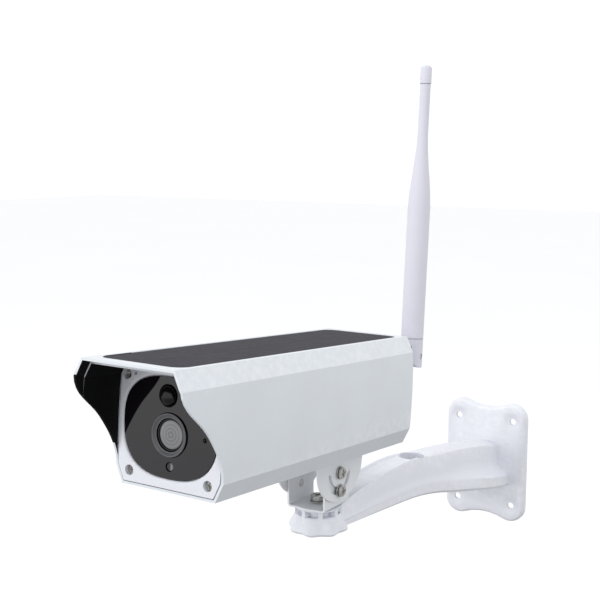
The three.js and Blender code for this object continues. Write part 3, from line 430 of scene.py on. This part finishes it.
# Each white is a clean tone and a dusty one
MOULDED_WHITE = ((0.745, 0.755, 0.81), (0.705, 0.715, 0.76))
SHELL_WHITE = ((0.71, 0.745, 0.785), (0.67, 0.7, 0.735))
BRACKET_WHITE = ((0.77, 0.785, 0.81), (0.73, 0.745, 0.765))
RADOME_WHITE = ((0.69, 0.685, 0.765), (0.66, 0.655, 0.72))
SURFACES = {
    "white_plastic": moulded_plastic("white_moulding", *MOULDED_WHITE),
    "painted_shell": painted_metal("white_shell_paint", *SHELL_WHITE),
    "bracket_sheet": painted_metal("bracket_paint", *BRACKET_WHITE, 0.4 * MM),
    "radome_plastic": moulded_plastic("radome_plastic", *RADOME_WHITE, (0.4, 0.55)),
    "plated_steel": plated_steel("nickel_plate"),
    "brass": brass("gold_plated_brass"),
    "window_acrylic": acrylic("smoked_acrylic"),
    "black_plastic": dark_plastic("black_moulding", (0.02, 0.02, 0.022)),
    "pir_plastic": dome_plastic("infrared_dome"),
    "rubber": rubber("black_rubber"),
    "circuit_board": circuit_board("solder_mask"),
    "battery_wrap": battery_wrap("blue_cell_wrap"),
}


# ------------------------------------------------------------------ refined copies of the CAD nodes
def split_at_front_plate(bm):
    """Cuts the housing's walls in the front plate's plane, where the visor's black coating stops."""
    plane = local_box("front_plate")[0].y
    geometry = bm.verts[:] + bm.edges[:] + bm.faces[:]
    bmesh.ops.bisect_plane(bm, geom=geometry, plane_co=(0, plane, 0), plane_no=(0, 1, 0), dist=CUT_SLACK)


def dish_round_window(bm):
    """Rolls the front plate's face down into the window's pocket."""
    front = local_box("front_plate")[0].y
    low, high = local_box("front_window")

    def at_window(point):
        across = low.x - MM < point.x < high.x + MM
        return across and low.z - MM < point.z < high.z + MM

    rim = []
    for edge in bm.edges:
        on_face = all(abs(v.co.y - front) < PLANE_SLACK for v in edge.verts)
        inside = all(at_window(v.co) for v in edge.verts)
        long_enough = edge.calc_length() > SHORTEST_RIM_EDGE
        if not (on_face and inside and long_enough and edge.is_manifold):
            continue
        if edge.calc_face_angle() > RIM_FACE_ANGLE:
            rim.append(edge)
    bmesh.ops.bevel(
        bm,
        geom=rim,
        offset=WINDOW_ROLL_WIDTH,
        offset_type="OFFSET",
        segments=WINDOW_ROLL_STEPS,
        profile=0.5,
        affect="EDGES",
    )


SHAPING = {"housing": split_at_front_plate, "front_plate": dish_round_window}


def refine(node, bevel, segments, crease):
    """A copy of a CAD node with merged flats, edges rounded by bevel in mm, and curves shaded smooth."""
    source = frame["nodes"][node]
    place = frame_of(node)
    bm = bmesh.new()
    bm.from_mesh(source.data)
    bmesh.ops.transform(bm, matrix=place.inverted(), verts=bm.verts)
    bmesh.ops.remove_doubles(bm, verts=bm.verts, dist=WELD_DISTANCE)
    flat = math.radians(FLAT_ANGLE)
    bmesh.ops.dissolve_limit(bm, angle_limit=flat, verts=bm.verts, edges=bm.edges)
    if node in SHAPING:
        SHAPING[node](bm)
    bm.verts.index_update()
    points = [v.co.copy() for v in bm.verts]
    index = {v: i for i, v in enumerate(bm.verts)}
    faces = [[index[v] for v in face.verts] for face in bm.faces]
    bm.free()
    mesh = bpy.data.meshes.new(f"{node}_detail")
    mesh.from_pydata(points, [], faces)
    mesh.shade_smooth()
    mesh.set_sharp_from_angle(angle=math.radians(crease))
    piece = bpy.data.objects.new(mesh.name, mesh)
    bpy.context.scene.collection.objects.link(piece)
    piece.matrix_world = place
    if bevel:
        rounded = piece.modifiers.new("rounded_edges", "BEVEL")
        rounded.width = bevel * MM
        rounded.segments = segments
        rounded.limit_method = "ANGLE"
        rounded.angle_limit = math.radians(crease)
        rounded.harden_normals = True
        rounded.miter_outer = "MITER_ARC"
    stand_for(piece, node)
    return piece


def stand_for(piece, node):
    piece.data.materials.clear()
    piece.data.materials.append(NODE_SURFACES.get(node) or SURFACES[SLOT_OF[node]])
    bpy.context.view_layer.update()
    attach(piece, BODY_OF[node])
    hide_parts(node)


SURFACES["lens_glass"] = lens_material("coated_glass", sum(local_box("lens_glass"), Vector()) / 2)
SURFACES["solar_cells"] = solar_cells("solar_cell_glass", local_box("solar_panel"))

NODE_SURFACES = {
    "lens_bezel": dark_plastic("bezel_grey", (0.095, 0.095, 0.104)),
    "light_sensor": sensor_lens("light_sensor_lens", sum(local_box("light_sensor"), Vector()).x / 2),
}

EDGE_ROUNDING = {
    "wall_bracket": (0.45, 3, 30),
    "housing": (0.3, 2, 13),
    "solar_panel": (0.2, 2, 38),
    "front_plate": (0.35, 3, 38),
    "rear_cap": (0.35, 3, 38),
    "upper_bracket": (0.3, 2, 38),
    "lower_bracket": (0.3, 2, 38),
    "pir_lens": (0.0, 1, 40),
    "lens_glass": (0.0, 1, 40),
    "antenna_rod": (0.15, 2, 38),
    "antenna_elbow": (0.4, 3, 38),
    "antenna_base": (0.35, 3, 38),
    "antenna_tip": (0.2, 2, 38),
    "port_cover": (0.5, 3, 38),
    "power_button": (0.5, 3, 38),
    "battery_contact_front": (0.05, 1, 38),
    "battery_contact_rear": (0.05, 1, 38),
}
SMALL_PART = (0.15, 2, 38)

for node in sorted(frame["nodes"]):
    refine(node, *EDGE_ROUNDING.get(node, SMALL_PART))


# ------------------------------------------------------------------ visor lining
def line_visor():
    """The visor's inside is coated black up to the front plate.

    The coating laps over the sawn edge on the left side. The right side's edge is white.
    """
    piece = bpy.data.objects["housing_detail"]
    piece.data.materials.append(visor_coating("visor_black_coating"))
    plate_front = local_box("front_plate")[0].y
    low, high = local_box("housing")
    for face in piece.data.polygons:
        centre = face.center
        if centre.y > plate_front or centre.z > high.z - ROOF_SKIN:
            continue
        inward = Vector((-centre.x, 0, (low.z + high.z) / 2 - centre.z)).normalized()
        forward = -face.normal.y
        lining = face.normal.dot(inward) > LEAST_INWARD and abs(forward) < LEAST_FORWARD
        coated_height = low.z + COATED_EDGE_START < centre.z < high.z - COATED_EDGE_END
        sawn_edge = forward > LEAST_FORWARD and centre.x < 0 and coated_height
        behind_front = centre.y > low.y + ROOF_STEP_SETBACK
        under_roof = centre.z > high.z - ROOF_STEP_HEIGHT
        if lining or sawn_edge or (forward > STRAIGHT_FORWARD and behind_front and under_roof):
            face.material_index = 1


def paint_bezel_wall_shade():
    """The lens bezel's outer wall is glossy black as painted shade, its sloping face a dull grey."""
    piece = bpy.data.objects["lens_bezel_detail"]
    piece.data.materials.append(SURFACES["pir_plastic"])
    for face in piece.data.polygons:
        # Painted shade: every sideways-facing face of the bezel takes the near-black glossy material.
        if abs(face.normal.y) < LEAST_FORWARD:
            face.material_index = 1


line_visor()
paint_bezel_wall_shade()


# ------------------------------------------------------------------ stage
def place_camera():
    """Puts the camera in its place and turns it towards the object."""
    azimuth = math.radians(CAMERA_AZIMUTH)
    elevation = math.radians(CAMERA_ELEVATION)
    roll = math.radians(CAMERA_ROLL)
    data = bpy.data.cameras.new("photo_camera")
    data.lens = CAMERA_LENS
    data.sensor_width = CAMERA_SENSOR
    data.clip_start = CAMERA_CLIP
    camera = bpy.data.objects.new("photo_camera", data)
    bpy.context.scene.collection.objects.link(camera)
    flat = math.cos(elevation)
    back = Vector((math.sin(azimuth) * flat, -math.cos(azimuth) * flat, math.sin(elevation)))
    level = Vector((math.cos(azimuth), math.sin(azimuth), 0))
    up = back.cross(level)
    right = level * math.cos(roll) + up * math.sin(roll)
    up = back.cross(right)
    place = Matrix((right, up, back)).transposed().to_4x4()
    place.translation = Vector(CAMERA_PLACE)
    camera.matrix_world = place
    bpy.context.scene.camera = camera


def soft_light(name, place, target, size, power):
    data = bpy.data.lights.new(name, "AREA")
    data.shape = "RECTANGLE"
    data.size, data.size_y = size
    data.energy = power
    light = bpy.data.objects.new(name, data)
    bpy.context.scene.collection.objects.link(light)
    light.location = place
    light.visible_glossy = False
    light.rotation_euler = (Vector(target) - Vector(place)).to_track_quat("-Z", "Y").to_euler()


def gradient_world():
    """White surroundings, dimmer below the horizon so that undersides fall off."""
    world = bpy.data.worlds.new("studio")
    world.use_nodes = True
    tree = world.node_tree
    background = tree.nodes["Background"]
    background.inputs["Color"].default_value = SKY_COLOR
    split = tree.nodes.new("ShaderNodeSeparateXYZ")
    tree.links.new(tree.nodes.new("ShaderNodeTexCoord").outputs["Generated"], split.inputs["Vector"])
    ramp = tree.nodes.new("ShaderNodeMapRange")
    for name, value in SKY_RAMP.items():
        ramp.inputs[name].default_value = value
    tree.links.new(split.outputs["Z"], ramp.inputs["Value"])
    tree.links.new(ramp.outputs["Result"], background.inputs["Strength"])
    bpy.context.scene.world = world


def studio():
    bpy.context.scene.view_settings.view_transform = "Standard"
    gradient_world()
    low, high = (Vector(corner) for corner in CAD_BOX)
    middle = (low + high) / 2
    mesh = bpy.data.meshes.new("floor")
    half = FLOOR_HALF
    z = low.z - FLOOR_DROP
    corners = [(-half, -half, z), (half, -half, z), (half, half, z), (-half, half, z)]
    mesh.from_pydata(corners, [], [(0, 1, 2, 3)])
    floor = bpy.data.objects.new("floor", mesh)
    bpy.context.scene.collection.objects.link(floor)
    floor.visible_diffuse = False
    floor.visible_glossy = False
    paper = Surface("studio_paper", Roughness=0.9)
    paper.color(dusty(paper, (0.93, 0.93, 0.93), (0.91, 0.91, 0.91), 0.4, 0.5))
    mesh.materials.append(paper.material)
    for name, light in LIGHTS.items():
        soft_light(name, light["place"], middle, light["size"], light["power"])


place_camera()
studio()
